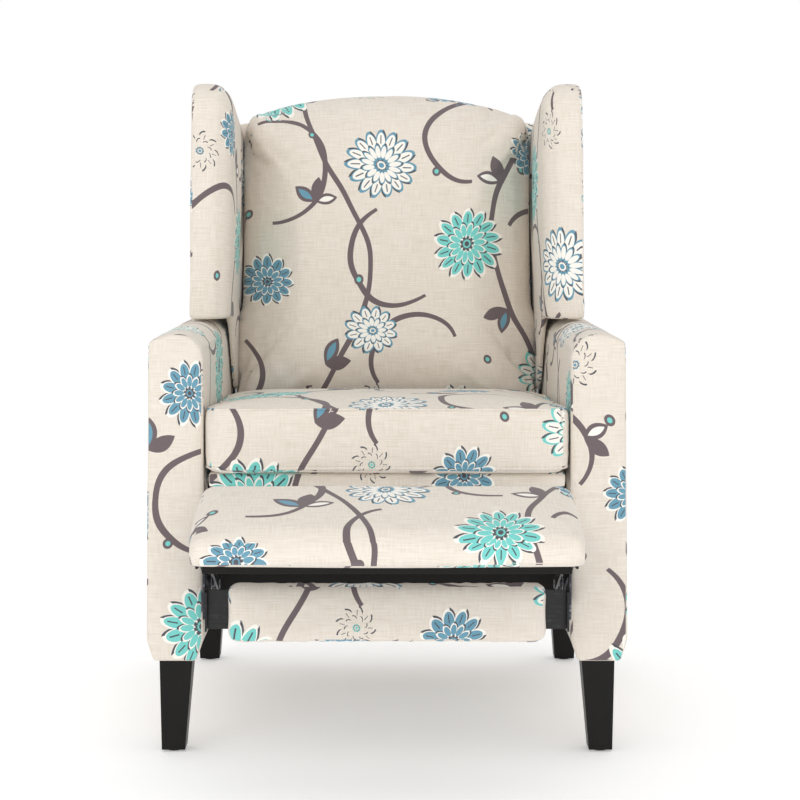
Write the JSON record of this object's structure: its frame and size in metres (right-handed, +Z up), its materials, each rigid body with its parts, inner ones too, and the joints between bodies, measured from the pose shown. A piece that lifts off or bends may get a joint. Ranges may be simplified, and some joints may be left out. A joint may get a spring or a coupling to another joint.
{
  "type": "wingback recliner",
  "caption": "Push-back wingback recliner with an arched back, tall padded wings, track arms, a loose seat cushion, a folding footrest on steel links and tapered black legs.",
  "frame": {"origin": "on the floor, centred under the chair with its footrest out", "axes": "+Z up, the chair faces -Y, +X to the sitter's left"},
  "size_m": [0.694, 1.017, 0.9866],
  "materials": {
    "upholstery": "matte",
    "plywood": "matte",
    "frame_wood": "matte",
    "black_lacquered_wood": "satin",
    "black_steel": "satin",
    "link_steel": "satin",
    "zinc_steel": "satin",
    "spring_steel": "satin",
    "black_nylon": "matte",
    "white_nylon": "matte",
    "elastic_webbing": "matte"
  },
  "bodies": {
    "base": {"arm_left": "upholstery", "arm_right": "upholstery", "arm_front_panel_left": "upholstery", "arm_front_panel_right": "upholstery", "arm_side_boards": "plywood", "arm_bottom_rails": "frame_wood", "front_leg_left": "black_lacquered_wood", "front_leg_right": "black_lacquered_wood", "rear_leg_left": "black_lacquered_wood", "rear_leg_right": "black_lacquered_wood", "leg_bolts": "zinc_steel", "leg_glides": "black_nylon", "front_cross_rail": "black_lacquered_wood", "rear_cross_rail": "frame_wood", "rear_base_panel": "upholstery", "rail_angles": "black_steel", "mechanism_plate_left": "black_steel", "mechanism_plate_right": "black_steel", "plate_bolts": "zinc_steel", "link_pivot_pins": "zinc_steel", "seat_runners": "black_steel", "back_hinge_plates": "black_steel", "back_hinge_pins": "zinc_steel"},
    "seat": {"seat_side_rails": "frame_wood", "seat_front_rail": "frame_wood", "seat_rear_rail": "frame_wood", "seat_glides": "white_nylon", "seat_springs": "spring_steel", "spring_clips": "spring_steel", "seat_deck": "upholstery", "seat_cushion": "upholstery"},
    "back": {"back_post_left": "frame_wood", "back_post_right": "frame_wood", "back_bottom_rail": "frame_wood", "back_middle_rail": "frame_wood", "back_top_rail": "frame_wood", "back_webbing": "elastic_webbing", "back_brackets": "black_steel", "back_cushion": "upholstery", "outside_back": "upholstery", "wing_left": "upholstery", "wing_right": "upholstery", "wing_boards": "plywood"},
    "rear_links": {"rear_link_left": "link_steel", "rear_link_right": "link_steel", "rear_link_rivets": "zinc_steel", "link_cross_tube": "black_steel"},
    "front_links": {"front_link_left": "link_steel", "front_link_right": "link_steel", "front_link_rivets": "zinc_steel", "lower_panel_brackets": "black_steel", "lower_panel_board": "plywood", "lower_panel_pad": "upholstery"},
    "guide_links": {"guide_links": "link_steel"},
    "control_links": {"control_links": "link_steel"},
    "footrest": {"footrest_board": "black_lacquered_wood", "footrest_brackets": "black_steel", "footrest_rivets": "zinc_steel", "footrest_pad": "upholstery"}
  },
  "joints": [
    {"name": "footrest_fold", "type": "hinge", "parent": "base", "child": "rear_links", "pos_m": [0, -0.06166, 0.345], "axis": [1, 0, 0], "range_deg": [0, 83.03]},
    {"name": "front_link_turn", "type": "hinge", "parent": "rear_links", "child": "front_links", "pos_m": [0, -0.19896, 0.25349], "axis": [1, 0, 0], "range_deg": [-97.6, 0]},
    {"name": "footrest_turn", "type": "hinge", "parent": "front_links", "child": "footrest", "pos_m": [0, -0.36412, 0.32505], "axis": [1, 0, 0], "range_deg": [0, 91.6]},
    {"name": "guide_link_turn", "type": "hinge", "parent": "base", "child": "guide_links", "pos_m": [0, -0.07224, 0.3059], "axis": [1, 0, 0], "range_deg": [0, 86.4]},
    {"name": "control_link_turn", "type": "hinge", "parent": "rear_links", "child": "control_links", "pos_m": [0, -0.17205, 0.24558], "axis": [1, 0, 0], "range_deg": [-98.6, 0]},
    {"name": "back_recline", "type": "hinge", "parent": "base", "child": "back", "pos_m": [0, 0.40634, 0.432], "axis": [-1, 0, 0], "range_deg": [0, 26]},
    {"name": "seat_slide", "type": "slide", "parent": "base", "child": "seat", "axis": [0, -1, 0], "range_m": [0, 0.0351]}
  ],
  "couplings": [
    {"joint": "front_link_turn", "follows": "footrest_fold", "ratio": -1.1734},
    {"joint": "footrest_turn", "follows": "footrest_fold", "ratio": 1.1008},
    {"joint": "guide_link_turn", "follows": "footrest_fold", "ratio": 1.0379},
    {"joint": "control_link_turn", "follows": "footrest_fold", "ratio": -1.1845},
    {"joint": "seat_slide", "follows": "back_recline", "m_per_rad": 0.07713}
  ]
}
